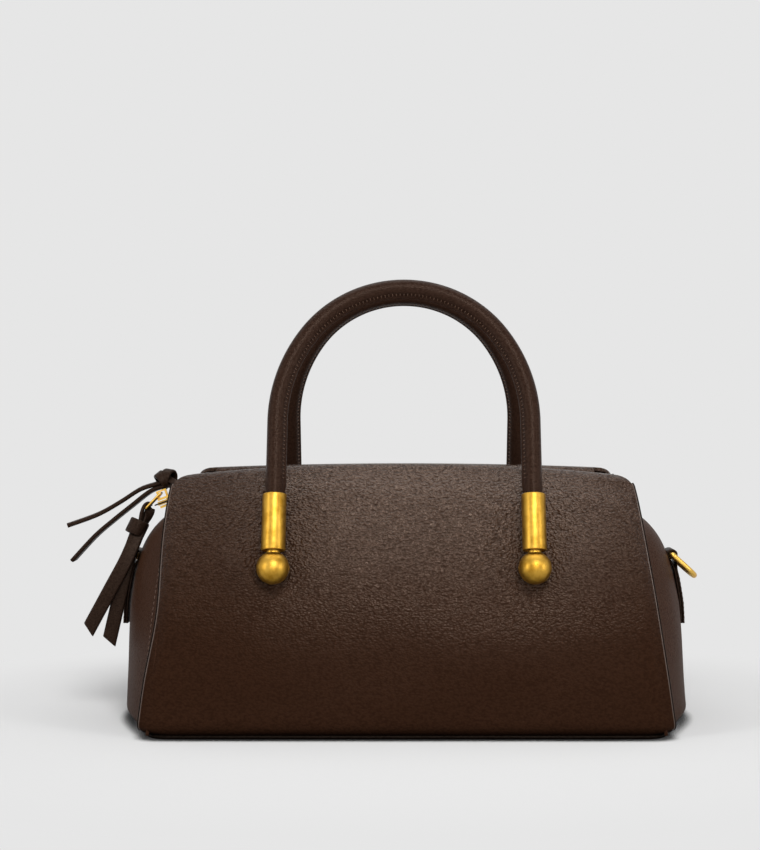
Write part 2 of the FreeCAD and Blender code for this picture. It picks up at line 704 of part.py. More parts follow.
os.makedirs("parts", exist_ok=True)
for name, shape in pieces.items():
    shape.exportStep("parts/" + name + ".step")
print(len(pieces), "pieces")
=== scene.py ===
import math

import bpy
from mathutils import Matrix, Vector, noise


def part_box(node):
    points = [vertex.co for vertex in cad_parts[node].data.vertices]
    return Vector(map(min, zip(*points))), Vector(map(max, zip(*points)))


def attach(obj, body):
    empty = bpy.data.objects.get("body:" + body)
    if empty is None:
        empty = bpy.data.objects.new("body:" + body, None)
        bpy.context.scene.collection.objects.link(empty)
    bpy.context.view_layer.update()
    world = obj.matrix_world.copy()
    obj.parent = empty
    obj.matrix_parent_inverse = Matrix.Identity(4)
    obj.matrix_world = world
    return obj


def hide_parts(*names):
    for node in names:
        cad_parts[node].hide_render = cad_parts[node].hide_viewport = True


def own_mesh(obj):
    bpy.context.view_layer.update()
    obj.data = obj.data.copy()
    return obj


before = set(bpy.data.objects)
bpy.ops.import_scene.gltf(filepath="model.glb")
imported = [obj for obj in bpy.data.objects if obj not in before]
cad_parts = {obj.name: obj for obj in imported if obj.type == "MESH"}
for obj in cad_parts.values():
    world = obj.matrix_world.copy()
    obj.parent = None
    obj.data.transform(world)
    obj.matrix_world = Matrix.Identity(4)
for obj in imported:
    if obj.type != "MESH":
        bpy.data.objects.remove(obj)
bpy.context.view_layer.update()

MM = 0.001

# Studio: a seamless pale sweep under and behind the bag, a pale world and large soft lamps.
# The camera stands level in front of the bag at the height of the handles' lower half.


def linear(hex_colour):
    """The linear colour of an sRGB hex value."""
    channels = [int(hex_colour[i:i + 2], 16) / 255 for i in (1, 3, 5)]
    return [c / 12.92 if c <= 0.04045 else ((c + 0.055) / 1.055) ** 2.4 for c in channels] + [1.0]


def add_node(tree, kind, inputs=None, **settings):
    """Adds a node, applies its settings, and links or sets its inputs."""
    node = tree.nodes.new(kind)
    for name, value in settings.items():
        setattr(node, name, value)
    for name, value in (inputs or {}).items():
        if isinstance(value, bpy.types.NodeSocket):
            tree.links.new(value, node.inputs[name])
        else:
            node.inputs[name].default_value = value
    return node


def new_material(name):
    """An empty material, its tree and its output node."""
    material = bpy.data.materials.new(name)
    material.use_nodes = True
    material.node_tree.nodes.clear()
    output = material.node_tree.nodes.new("ShaderNodeOutputMaterial")
    return material, material.node_tree, output


def clear_selection():
    bpy.ops.object.select_all(action="DESELECT")


def edit_mode(obj):
    clear_selection()
    obj.select_set(True)
    bpy.context.view_layer.objects.active = obj
    bpy.ops.object.mode_set(mode="EDIT")


def object_mode():
    bpy.ops.object.mode_set(mode="OBJECT")


def seen_directly(tree):
    """1 where a surface is seen, also in a gloss or through glass, and 0 where it only gives light."""
    path = add_node(tree, "ShaderNodeLightPath").outputs
    seen = path["Is Camera Ray"]
    for ray in ("Is Glossy Ray", "Is Transmission Ray"):
        seen = add_node(tree, "ShaderNodeMath", {0: seen, 1: path[ray]}, operation="ADD").outputs[0]
    return seen


sweep_half, sweep_back, sweep_high, sweep_round = 4.0, 1.6, 4.0, 1.2
clear_selection()
bpy.ops.mesh.primitive_plane_add(size=1, location=(0, 0, 0))
sweep = bpy.context.object
sweep.name = "studio_sweep"
corners = [(x, y) for y in (-sweep_half, sweep_back) for x in (-sweep_half, sweep_half)]
for vertex, (x, y) in zip(sweep.data.vertices, corners):
    vertex.co = (x, y, 0)
edit_mode(sweep)
bpy.ops.mesh.select_all(action="DESELECT")
bpy.ops.mesh.select_mode(type="EDGE")
object_mode()
for edge in sweep.data.edges:
    edge.select = all(sweep.data.vertices[i].co.y > 0 for i in edge.vertices)
edit_mode(sweep)
bpy.ops.mesh.extrude_region_move(TRANSFORM_OT_translate={"value": (0, 0, sweep_high)})
object_mode()
for edge in sweep.data.edges:
    ends = [sweep.data.vertices[i].co for i in edge.vertices]
    edge.select = all(end.y > 0 and end.z < 0.01 for end in ends)
edit_mode(sweep)
bpy.ops.mesh.bevel(offset=sweep_round, segments=32)
object_mode()
bpy.ops.object.shade_smooth()
paper, tree, output = new_material("seamless_paper")
# Painted contact shadow: the paper darkens to near-black within about eight millimetres of the bag, through
# an occlusion node.
painted_contact_shadow_ao = add_node(tree, "ShaderNodeAmbientOcclusion", {"Distance": 0.008}, samples=8)
painted_shadow_fade = add_node(tree, "ShaderNodeMapRange", {
    "Value": painted_contact_shadow_ao.outputs["AO"], "From Min": 0.5, "From Max": 0.9, "To Min": 0.05},
    interpolation_type="SMOOTHSTEP")
paper_tone_with_painted_shadow = add_node(tree, "ShaderNodeMix", {"Factor": painted_shadow_fade.outputs["Result"], 6: linear("#0c0a09"),
                                              7: linear("#d6d6d6")}, data_type="RGBA")
paper_matt = add_node(tree, "ShaderNodeBsdfDiffuse", {"Color": paper_tone_with_painted_shadow.outputs[2], "Roughness": 1.0})
paper_even = add_node(tree, "ShaderNodeEmission", {"Color": linear("#e6e6e6"), "Strength": 1.0})
spot = add_node(tree, "ShaderNodeTexCoord").outputs["Object"]
oval = add_node(tree, "ShaderNodeVectorMath", {0: spot, 1: (1.0, 1.35, 1.0)}, operation="MULTIPLY")
away = add_node(tree, "ShaderNodeVectorMath", {0: oval.outputs[0]}, operation="LENGTH").outputs["Value"]
far = add_node(tree, "ShaderNodeMapRange", {"Value": away, "From Min": 0.13, "From Max": 0.34},
               interpolation_type="SMOOTHSTEP").outputs["Result"]
even = add_node(tree, "ShaderNodeMath", {0: seen_directly(tree), 1: far}, operation="MULTIPLY",
                use_clamp=True)
paper_look = add_node(tree, "ShaderNodeMixShader", {
    0: even.outputs[0], 1: paper_matt.outputs[0], 2: paper_even.outputs[0]})
tree.links.new(paper_look.outputs[0], output.inputs["Surface"])
sweep.data.materials.append(paper)

world = bpy.data.worlds.new("pale_studio")
bpy.context.scene.world = world
world.use_nodes = True
sky = world.node_tree.nodes["Background"]
sky.inputs["Color"].default_value = linear("#f2f2f2")
pale = add_node(world.node_tree, "ShaderNodeMapRange", {
    "Value": seen_directly(world.node_tree), "To Min": 0.14, "To Max": 0.89})
world.node_tree.links.new(pale.outputs["Result"], sky.inputs["Strength"])

lamps = {
    "key_softbox": ((0.16, -1.15, 0.92), (0, 0, 0.11), (0.55, 0.5), 11.0),
    "front_softbox": ((0.1, -1.45, 0.34), (0, 0, 0.1), (1.0, 0.5), 3.0),
    "top_softbox": ((0.0, 0.25, 1.5), (0, 0, 0.1), (1.6, 0.9), 9.0),
    "right_strip": ((1.15, -0.75, 0.40), (0.1, 0, 0.1), (0.3, 0.9), 3.5),
    "left_strip": ((-1.15, -0.75, 0.40), (-0.1, 0, 0.1), (0.3, 0.9), 4.0),
}
for name, (place, target, size, power) in lamps.items():
    light = bpy.data.lights.new(name, "AREA")
    light.shape = "RECTANGLE"
    light.size, light.size_y = size
    light.energy = power
    lamp = bpy.data.objects.new(name, light)
    bpy.context.scene.collection.objects.link(lamp)
    lamp.location = place
    lamp.rotation_euler = (Vector(target) - Vector(place)).to_track_quat("-Z", "Y").to_euler()

camera_data = bpy.data.cameras.new("camera")
camera_data.sensor_width = 36.0
camera_data.lens = 65.1
camera_data.shift_x = -0.0282
camera_data.shift_y = -0.0259
camera = bpy.data.objects.new("camera", camera_data)
camera.location = (0, -0.830, 0.167)
camera.rotation_euler = (math.radians(90), 0, 0)
bpy.context.scene.collection.objects.link(camera)
bpy.context.scene.camera = camera
bpy.context.scene.view_settings.view_transform = "Standard"

# Body leather: dark brown leather with a small pebble grain and a semi-matt finish.
# On the panels its grain and shine are fitted to the photograph, strongest high up near the middle.


def pebbled_leather(name, hex_colour, pebble_mm, depth_mm, roughness, sheen, grain_and_painted_sheen_mm=None, painted_sheen_middle_mm=None):
    """Leather with small uneven pebbles, a little wider than high, and dark dull creases between them.

    Grain and shine grow from the first height of grain_and_painted_sheen_mm to the second. The shine is full within the second
    distance of painted_sheen_middle_mm from its first place across the bag, and fades to the third.
    """
    material, tree, output = new_material(name)
    place = add_node(tree, "ShaderNodeTexCoord").outputs["Object"]
    wide = add_node(tree, "ShaderNodeVectorMath", {0: place, 1: (0.8, 0.8, 1.15)}, operation="MULTIPLY")
    wide = wide.outputs[0]
    cells = add_node(tree, "ShaderNodeTexVoronoi", {
        "Vector": wide, "Scale": 1 / (pebble_mm * MM), "Randomness": 1.0})
    wrinkle = add_node(tree, "ShaderNodeTexNoise", {
        "Vector": wide, "Scale": 1 / (1.3 * pebble_mm * MM), "Detail": 2.0})
    height = add_node(tree, "ShaderNodeMath", {
        0: cells.outputs["Distance"], 1: -0.6, 2: wrinkle.outputs["Fac"]}, operation="MULTIPLY_ADD")
    height = height.outputs[0]
    # Grain strength and shine both rise with height; the rise of the shine is painted sheen.
    full = 1.0
    if grain_and_painted_sheen_mm:
        level = add_node(tree, "ShaderNodeSeparateXYZ", {0: place}).outputs["Z"]
        full = add_node(tree, "ShaderNodeMapRange", {
            "Value": level, "From Min": grain_and_painted_sheen_mm[0] * MM, "From Max": grain_and_painted_sheen_mm[1] * MM, "To Min": 0.2},
            interpolation_type="SMOOTHSTEP").outputs["Result"]
    bump = add_node(tree, "ShaderNodeBump", {"Height": height, "Distance": depth_mm * MM, "Strength": full})
    raised = add_node(tree, "ShaderNodeMapRange", {"Value": height, "From Min": -0.1, "From Max": 0.4},
                      interpolation_type="SMOOTHSTEP").outputs["Result"]
    broad = add_node(tree, "ShaderNodeTexNoise", {"Vector": place, "Scale": 1 / (40 * MM), "Detail": 4.0})
    low = [0.7 * c for c in linear(hex_colour)[:3]] + [1.0]
    tone = add_node(tree, "ShaderNodeMix", {"Factor": raised, 6: low, 7: linear(hex_colour)},
                    data_type="RGBA")
    cloudy = add_node(tree, "ShaderNodeMapRange", {"Value": broad.outputs["Fac"], "To Max": 0.35})
    mottle_and_painted_shade = add_node(tree, "ShaderNodeMix", {"Factor": cloudy.outputs["Result"], 6: tone.outputs[2], 7: low},
                    data_type="RGBA")
    # Painted shade: the colour darkens towards near-black in hollows and where parts lie close, through an
    # occlusion node.
    painted_hollow_shade = add_node(tree, "ShaderNodeAmbientOcclusion", {"Distance": 6 * MM}, samples=4)
    shade = add_node(tree, "ShaderNodeMapRange", {
        "Value": painted_hollow_shade.outputs["AO"], "From Min": 0.45, "From Max": 0.9, "To Min": 0.25})
    mottle_and_painted_shade = add_node(tree, "ShaderNodeMix", {"Factor": shade.outputs["Result"], 6: linear("#0a0604"),
                                            7: mottle_and_painted_shade.outputs[2]}, data_type="RGBA")
    gloss = add_node(tree, "ShaderNodeMapRange", {"Value": wrinkle.outputs["Fac"], "To Min": roughness - 0.07,
                                                  "To Max": roughness + 0.09})
    shine = add_node(tree, "ShaderNodeMath", {0: full, 1: 2.0}, operation="POWER")
    shine = add_node(tree, "ShaderNodeMath", {0: shine.outputs[0], 1: sheen}, operation="MULTIPLY")
    crease = add_node(tree, "ShaderNodeMapRange", {
        "Value": height, "From Min": -0.1, "From Max": 0.45, "To Min": 0.35})
    shine = add_node(tree, "ShaderNodeMath", {0: shine.outputs[0], 1: crease.outputs["Result"]},
                     operation="MULTIPLY")
    # Painted sheen: the shine falls off towards the sides of the bag.
    if painted_sheen_middle_mm:
        across = add_node(tree, "ShaderNodeSeparateXYZ", {0: place}).outputs["X"]
        aside = add_node(tree, "ShaderNodeMath", {0: across, 1: painted_sheen_middle_mm[0] * MM}, operation="SUBTRACT")
        aside = add_node(tree, "ShaderNodeMath", {0: aside.outputs[0]}, operation="ABSOLUTE")
        painted_sheen_side_fade = add_node(tree, "ShaderNodeMapRange", {
            "Value": aside.outputs[0], "From Min": painted_sheen_middle_mm[1] * MM, "From Max": painted_sheen_middle_mm[2] * MM,
            "To Min": 1.0, "To Max": 0.3}, interpolation_type="SMOOTHSTEP")
        shine = add_node(tree, "ShaderNodeMath", {0: shine.outputs[0], 1: painted_sheen_side_fade.outputs["Result"]},
                         operation="MULTIPLY")
    shader = add_node(tree, "ShaderNodeBsdfPrincipled", {
        "Base Color": mottle_and_painted_shade.outputs[2], "Roughness": gloss.outputs["Result"], "Normal": bump.outputs["Normal"],
        "Specular IOR Level": shine.outputs[0], "Specular Tint": linear("#f4d8c4")})
    tree.links.new(shader.outputs[0], output.inputs["Surface"])
    return material


# On the panels the shine is placed by height and across the bag: painted sheen.
body_leather = pebbled_leather("pebbled_brown_leather", "#352116", 1.15, 1.25, 0.2, 1.1,
                               (24, 122), (18, 45, 120))


def finish_piece(obj, body, slot, *nodes):
    """Ties a finished piece to its body and hides the solids that it stands for. The slot is not used."""
    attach(obj, body)
    if nodes:
        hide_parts(*nodes)


def apply_modifiers(obj):
    clear_selection()
    obj.select_set(True)
    bpy.context.view_layer.objects.active = obj
    for modifier in list(obj.modifiers):
        bpy.ops.object.modifier_apply(modifier=modifier.name)


def grid_piece(name, columns, rows, place):
    """A grid whose points are set by place(u, v), with u and v from 0 to 1."""
    clear_selection()
    bpy.ops.mesh.primitive_grid_add(x_subdivisions=columns, y_subdivisions=rows, size=1, location=(0, 0, 0))
    obj = bpy.context.object
    obj.name = name
    obj.data.name = name
    for vertex in obj.data.vertices:
        vertex.co = place(vertex.co.x + 0.5, vertex.co.y + 0.5)
    return obj


# Front and rear panels: one cut of pebbled leather each, on a soft backing, turned over a padded ridge
# at the top and down into the mouth. The side edges roll back to the gussets, with a cut-edge bead lighter
# than the panel, partly edge paint and partly painted highlight, and a near-black bead of painted seam shadow
# behind it.
panel_low, panel_high = (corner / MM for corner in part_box("front_panel"))
facing_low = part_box("front_facing")[0] / MM
facing_foot_y = -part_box("front_facing")[1].y / MM
base_half_depth = 70.0
ridge_height = panel_high.z
panel_lean = 25.2
panel_belly = 1.5
foot_half_width = 134.0
zip_half_width = 119.0
zip_height = 117.8
front_crest = (136.0, 2.0)    # height of the front ridge in the middle, and its fall at the handles
rear_crest = (133.0, 0.8)     # the rear ridge has sunk a little
handle_half_width = 64.8
top_corner, low_corner = 11.0, 5.0
edge_turn = 11.0              # width along the side edges that curves back
foot_round, foot_curl = 7.0, 2.8    # height over which the foot curls in, and how far
panel_thick = 2.0
ball_height = 85.5
slack_edge, slack_height, slack_reach = 2.8, 62.0, 26.0    # the left side edge has slackened inward
pucker_depth, pucker_reach, pucker_drop = 1.2, 10.0, 2.0    # the dent that each ball pulls, below its middle
fold_x, fold_z = 77.5, 80.5    # middle of the soft fold outside each ball
fold_way = (0.65, 0.76)       # its slant, down and outward
fold_rise, fold_length, fold_breadth = 1.6, 15.0, 6.0
edge_roll, edge_roll_top = 3.8, 0.6    # how far the side edges roll back, low down and at the ridge
roll_fade_drop, roll_fade = 6.0, 34.0    # where below the ridge that begins to grow, and over what height
lift_start = 90.0             # height above which the panel follows the line of its crest


def half_depth(z):
    share = z / ridge_height
    return base_half_depth - panel_lean * share ** 2.2 + panel_belly * math.sin(math.pi * share)


def half_width(z):
    return foot_half_width - (foot_half_width - zip_half_width) * z / zip_height


def smooth_line(points, steps):
    """Points along a smooth line through the given points, evenly spaced."""
    dense = []
    for index in range(len(points) - 1):
        a, b = points[index], points[index + 1]
        before = points[max(index - 1, 0)]
        after = points[min(index + 2, len(points) - 1)]
        for step in range(12):
            t = step / 12
            dense.append(0.5 * (2 * a + (b - before) * t + (2 * before - 5 * a + 4 * b - after) * t ** 2
                                + (3 * a - before - 3 * b + after) * t ** 3))
    dense.append(points[-1])
    run = [0.0]
    for a, b in zip(dense, dense[1:]):
        run.append(run[-1] + (b - a).length)
    even = []
    index = 0
    for step in range(steps + 1):
        want = run[-1] * step / steps
        while index < len(run) - 2 and run[index + 1] < want:
            index += 1
        span = run[index + 1] - run[index]
        even.append(dense[index].lerp(dense[index + 1], (want - run[index]) / span if span else 0.0))
    return even, run[-1]


profile_points = [Vector((half_depth(z), z)) for z in (panel_low.z, 12, 28, 46, 64, 82, 98, 111, 121)]
profile_points += [Vector(point) for point in (
    (45.6, 129.0), (42.4, 132.8), (38.6, 134.5), (35.2, 133.2), (33.2, 129.2), (32.0, 123.5),
    (facing_foot_y, facing_low.z))]
panel_rows = 132
panel_columns = 176
panel_line, panel_run = smooth_line(profile_points, panel_rows)
crest_row = max(range(panel_rows + 1), key=lambda row: panel_line[row].y)


def panel_edge(row):
    """Half width of the panel at a row, with the corners rounded."""
    z = panel_line[row].y
    wide = half_width(z)
    step = panel_run / panel_rows
    from_crest = (crest_row - row) * step
    if from_crest < top_corner:
        inside = top_corner - max(from_crest, 0.0)
        wide += math.sqrt(top_corner ** 2 - inside ** 2) - top_corner
    from_foot = row * step
    if from_foot < low_corner:
        inside = low_corner - from_foot
        wide += math.sqrt(low_corner ** 2 - inside ** 2) - low_corner
    return wide


def sway(z):
    """The soft body stands a little askew: its foot to the right, its ridge to the left."""
    return 1.4 - 2.2 * z / ridge_height


def panel_place(u, v, crest_line, seed):
    """Point of a front panel, u along the bag and v up the panel and over the ridge."""
    row = round(v * panel_rows)
    depth, z = panel_line[row]
    edge = panel_edge(row)
    x = (2 * u - 1) * edge
    if x < 0:
        x += slack_edge * math.exp(-((z - slack_height) / slack_reach) ** 2) * (x / edge) ** 4
    crest = crest_line[0] - crest_line[1] * (x / handle_half_width) ** 2
    if row > crest_row:
        lift = (z - facing_low.z) / (ridge_height - facing_low.z)
    else:
        lift = max(0.0, (z - lift_start) / (ridge_height - lift_start)) ** 2
    z += (crest - ridge_height) * lift
    depth -= foot_curl * max(0.0, 1 - (z - panel_low.z) / foot_round) ** 2
    near = max(0.0, 1 - (1 - abs(2 * u - 1)) * edge / edge_turn)
    grown = min(1.0, max(0.0, (ridge_height - roll_fade_drop - z) / roll_fade))
    depth -= (edge_roll_top + (edge_roll - edge_roll_top) * grown) * near ** 2.3
    if row < crest_row - 6:
        for side in (-1, 1):
            away = math.hypot(x - side * handle_half_width, z - ball_height + pucker_drop)
            depth -= pucker_depth * math.exp(-(away / pucker_reach) ** 2)
            along = -fold_way[0] * (side * x - fold_x) - fold_way[1] * (z - fold_z)
            across = -fold_way[1] * (side * x - fold_x) + fold_way[0] * (z - fold_z)
            depth += fold_rise * math.exp(-(along / fold_length) ** 2 - (across / fold_breadth) ** 2)
        for rise, long, high, draw in ((1.5, 60, 40, seed), (0.25, 22, 16, seed + 5)):
            depth += rise * noise.noise(Vector((x / long, z / high, draw))) * min(1.0, row / 12)
    return Vector((x + sway(z), -depth, z)) * MM


def skin(obj, thick_mm, edge_mm):
    """Gives a sheet its thickness, inward, with eased edges, and shades it smooth."""
    solid = obj.modifiers.new("thickness", "SOLIDIFY")
    solid.thickness = thick_mm * MM
    solid.offset = -1
    solid.use_even_offset = True
    ease = obj.modifiers.new("eased_edges", "BEVEL")
    ease.width = edge_mm * MM
    ease.segments = 3
    ease.limit_method = "ANGLE"
    ease.angle_limit = math.radians(50)
    apply_modifiers(obj)
    bpy.ops.object.shade_smooth()


def panel_leather(name, crest_line, seed):
    obj = grid_piece(name, panel_columns, panel_rows, lambda u, v: panel_place(u, v, crest_line, seed))
    skin(obj, panel_thick, 0.75)
    obj.data.materials.append(body_leather)
    return obj


def turn_round(obj):
    """Turns a piece made for the front or the right end to the other side of the bag."""
    obj.data.transform(Matrix.Rotation(math.pi, 4, "Z"))


front_panel = panel_leather("front_panel_leather", front_crest, 3.7)
rear_panel = panel_leather("rear_panel_leather", rear_crest, 9.2)
turn_round(rear_panel)

edge_finish_and_painted_highlight, tree, output = new_material("brown_edge_finish_with_painted_highlight")
place = add_node(tree, "ShaderNodeTexCoord").outputs["Object"]
paint_cloud = add_node(tree, "ShaderNodeTexNoise", {"Vector": place, "Scale": 1 / (3 * MM), "Detail": 3.0})
# The bead is a little lighter than the panel: partly edge paint and partly a painted highlight along the
# rolled edge.
edge_tone_with_painted_highlight = add_node(tree, "ShaderNodeMix", {"Factor": paint_cloud.outputs["Fac"], 6: linear("#3d2c22"),
                                              7: linear("#564236")}, data_type="RGBA")
paint_shader = add_node(tree, "ShaderNodeBsdfPrincipled", {
    "Base Color": edge_tone_with_painted_highlight.outputs[2], "Roughness": 0.4})
tree.links.new(paint_shader.outputs[0], output.inputs["Surface"])


def close_tube(obj):
    """Joins the two long edges of a rolled grid and caps its open ends."""
    edit_mode(obj)
    bpy.ops.mesh.select_all(action="SELECT")
    bpy.ops.mesh.remove_doubles(threshold=0.00002)
    bpy.ops.mesh.fill_holes(sides=0)
    bpy.ops.mesh.select_all(action="SELECT")
    bpy.ops.mesh.normals_make_consistent(inside=False)
    object_mode()


def bead(name, points, radius_mm, material):
    """A thin round bead along the given points, in metres."""
    rows = len(points) - 1

    def place(u, v):
        row = round(v * rows)
        along = (points[min(row + 1, rows)] - points[max(row - 1, 0)]).normalized()
        side = along.cross(Vector((0, 1, 0))).normalized()
        up = side.cross(along)
        angle = 2 * math.pi * u
        return points[row] + radius_mm * MM * (side * math.cos(angle) + up * math.sin(angle))

    obj = grid_piece(name, 10, rows, place)
    close_tube(obj)
    bpy.ops.object.shade_smooth()
    obj.data.materials.append(material)
    return obj


def joined(name, pieces):
    """Several pieces made into one."""
    clear_selection()
    for piece in pieces:
        piece.select_set(True)
    bpy.context.view_layer.objects.active = pieces[0]
    if len(pieces) > 1:
        bpy.ops.object.join()
    pieces[0].name = name
    pieces[0].data.name = name
    return pieces[0]


def panel_beads(name, crest_line, seed, out_mm, back_mm, radius_mm, material):
    """A bead along both side edges of a panel, set outward and back from the edge."""
    beads = []
    for u, side in ((0.0, -1), (1.0, 1)):
        line = [panel_place(u, row / panel_rows, crest_line, seed) for row in range(2, crest_row - 6)]
        line = [point + Vector((side * out_mm, back_mm, 0)) * MM for point in line]
        beads.append(bead(f"{name}_{u}", line, radius_mm, material))
    return joined(name, beads)


# Painted shade: a near-black bead stands for the shadowed groove between each panel edge and its gusset.
seam_shadow_leather = pebbled_leather("painted_seam_shadow_leather", "#160d08", 0.8, 0.08, 0.5, 0.05)
for name, crest_line, seed in (("front_panel", front_crest, 3.7), ("rear_panel", rear_crest, 9.2)):
    edges = panel_beads(f"{name}_edges", crest_line, seed, 0.0, 0.5, 0.45, edge_finish_and_painted_highlight)
    seam_shadow_beads = panel_beads(f"{name}_welts", crest_line, seed, 0.35, 2.0, 0.95, seam_shadow_leather)
    for piece in (edges, seam_shadow_beads):
        if name == "rear_panel":
            turn_round(piece)
        finish_piece(piece, "bag_body", "pebbled_leather")
finish_piece(front_panel, "bag_body", "pebbled_leather", "front_panel", "front_facing")
finish_piece(rear_panel, "bag_body", "pebbled_leather", "rear_panel", "rear_facing")

# End gussets: softer brown leather, cut full so that they puff out between the two panels,
# sewn behind the panel edges with a row of stitches just outside the seam.
gusset_bulge, gusset_foot_bulge = 20.8, 15.6
gusset_fullness = 7.9
gusset_round = 7.0
gusset_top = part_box("right_gusset")[1].z / MM
gusset_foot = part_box("right_gusset")[0].z / MM
seam_inset = 4.2
seam_gap = 0.4
gusset_rows, gusset_columns = 96, 96
soft_leather = pebbled_leather("soft_brown_gusset_leather", "#40291d", 0.9, 0.14, 0.45, 0.03)
fold_start = 0.9              # share of the rows below the top edge, which turns in over the lining
gusset_fold, gusset_rise = 9.0, 0.3
gusset_drop = 3.2             # the top edge hangs lower in the middle, below the zip
gusset_puff = 1.35            # how quickly the bulge rises from the seams: less is quicker
gusset_full_height = 60.0


def gusset_crest(z):
    bulge = gusset_foot_bulge + (gusset_bulge - gusset_foot_bulge) * min(1.0, z / gusset_full_height)
    bulge *= 1 - (z / gusset_top) ** gusset_fullness
    below = max(0.0, 1 - z / gusset_round)
    return half_width(z) - seam_inset + (bulge + seam_inset) * math.sqrt(max(0.0, 1 - below ** 2))


def gusset_point(across, z, seed):
    """Point of the right gusset: across from -1 at the front seam to 1 at the rear seam."""
    edge_x = half_width(z) - seam_inset
    edge_y = half_depth(z) - panel_thick - seam_gap
    puff = max(0.0, 1 - across ** 2) ** gusset_puff
    x = edge_x + (gusset_crest(z) - edge_x) * puff
    x += 0.9 * puff * noise.noise(Vector((across * 2.2, z / 30, seed)))
    return Vector((x, across * edge_y, z)) * MM


def gusset_leather(name, side, seed):
    def place(u, v):
        across = 2 * u - 1
        up = min(1.0, v / fold_start)
        turn = math.pi / 2 * max(0.0, (v - fold_start) / (1 - fold_start))
        z = gusset_foot + (gusset_top - gusset_foot) * up
        lean = side * sway(z) - gusset_fold * (1 - math.cos(turn))
        rise = gusset_rise * math.sin(turn) - gusset_drop * max(0.0, 1 - across ** 2) * up ** 8
        return gusset_point(across, z, seed) + Vector((lean, 0, rise)) * MM

    obj = grid_piece(name, gusset_columns, gusset_rows, place)
    skin(obj, 1.6, 0.5)
    obj.data.materials.append(soft_leather)
    return obj


right_gusset = gusset_leather("right_gusset_leather", 1, 8.1)
left_gusset = gusset_leather("left_gusset_leather", -1, 2.6)
turn_round(left_gusset)
finish_piece(right_gusset, "bag_body", "pebbled_leather", "right_gusset")
finish_piece(left_gusset, "bag_body", "pebbled_leather", "left_gusset")

# Stitches: waxed thread in the colour of the leather, each one a short bead sunk half into it.
# One stitch is modelled and copied along every seam of the bag.
thread, tree, output = new_material("waxed_brown_thread")
place = add_node(tree, "ShaderNodeTexCoord").outputs["Object"]
fibre = add_node(tree, "ShaderNodeTexWave", {"Vector": place, "Scale": 1 / (0.8 * MM), "Distortion": 1.5},
                 bands_direction="DIAGONAL")
thread_tone = add_node(tree, "ShaderNodeMix", {"Factor": fibre.outputs["Fac"], 6: linear("#3a281d"),
                                               7: linear("#6a4c3a")}, data_type="RGBA")
thread_shader = add_node(tree, "ShaderNodeBsdfPrincipled", {
    "Base Color": thread_tone.outputs[2], "Roughness": 0.5, "Specular IOR Level": 0.4})
tree.links.new(thread_shader.outputs[0], output.inputs["Surface"])
clear_selection()
bpy.ops.mesh.primitive_uv_sphere_add(segments=8, ring_count=5, radius=1, location=(0, 0, 0))
stitch = bpy.context.object
stitch.name = "stitch"
stitch_half_length, stitch_radius = 1.0, 0.32
stitch.data.transform(Matrix.Diagonal((stitch_half_length * MM, stitch_radius * MM, stitch_radius * MM, 1.0)))
bpy.ops.object.shade_smooth()
stitch.data.materials.append(thread)


def copies_of(master, name, places):
    """One piece made of copies of the master, one at each of the given matrices."""
    made = []
    for matrix in places:
        copy = master.copy()
        copy.data = master.data.copy()
        copy.data.transform(matrix)
        bpy.context.scene.collection.objects.link(copy)
        made.append(copy)
    return joined(name, made)


def set_along(point, way, up):
    """The matrix that puts a piece at a point with its X along the way and its Z near up."""
    side = up.cross(way).normalized()
    top = way.cross(side).normalized()
    return Matrix.Translation(point) @ Matrix((way.normalized(), side, top)).transposed().to_4x4()


seam_across = 0.83            # share of the way from the middle of the gusset to the seam
seam_low, seam_pitch, seam_count = 7.0, 2.8, 36


def seam_stitches(name, side, seed):
    """Rows of stitches down the front and rear seam of a gusset, just outside the panel edge."""
    places = []
    for across in (-seam_across, seam_across):
        for step in range(seam_count):
            z = seam_low + seam_pitch * step
            point = gusset_point(across, z, seed)
            ahead = gusset_point(across, z + 1, seed)
            beside = gusset_point(across * 1.02, z, seed) - gusset_point(across * 0.98, z, seed)
            out = beside.cross(ahead - point)
            out *= -1 if out.x < 0 else 1
            shift = Vector((side * sway(z) * MM, 0, 0)) + out.normalized() * 0.1 * MM
            places.append(set_along(point + shift, ahead - point, out))
    return copies_of(stitch, name, places)


right_seam = seam_stitches("right_gusset_stitches", 1, 8.1)
left_seam = seam_stitches("left_gusset_stitches", -1, 2.6)
turn_round(left_seam)
finish_piece(right_seam, "bag_body", "pebbled_leather")
finish_piece(left_seam, "bag_body", "pebbled_leather")

# Base: a flat cut of the same leather over a stiff board, glued and sewn inside the panel feet.
# Only its rounded edge shows, as a dark line below the panels; its near-black colour is painted shade.
base_half = Vector((129.0, 67.8))
base_bow, base_corner = 10.5, 9.0    # how far the ends bow out below the gussets, and the corner radius
base_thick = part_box("base_panel")[1].z / MM


def base_place(u, v):
    y = (2 * v - 1) * base_half.y
    inside = max(0.0, base_corner - (base_half.y - abs(y)))
    end = base_half.x + base_bow * max(0.0, 1 - (2 * v - 1) ** 2) ** gusset_puff
    end += math.sqrt(base_corner ** 2 - inside ** 2) - base_corner
    return Vector(((2 * u - 1) * end + sway(0), y, base_thick)) * MM


base_leather = grid_piece("base_leather", 48, 80, base_place)
skin(base_leather, base_thick, 0.8)
# Near-black colour: painted shade below the panel feet.
base_leather.data.materials.append(pebbled_leather("near_black_base_painted_shade", "#0f0a07", 0.9, 0.10, 0.45, 0.1))
finish_piece(base_leather, "bag_body", "pebbled_leather", "base_panel")

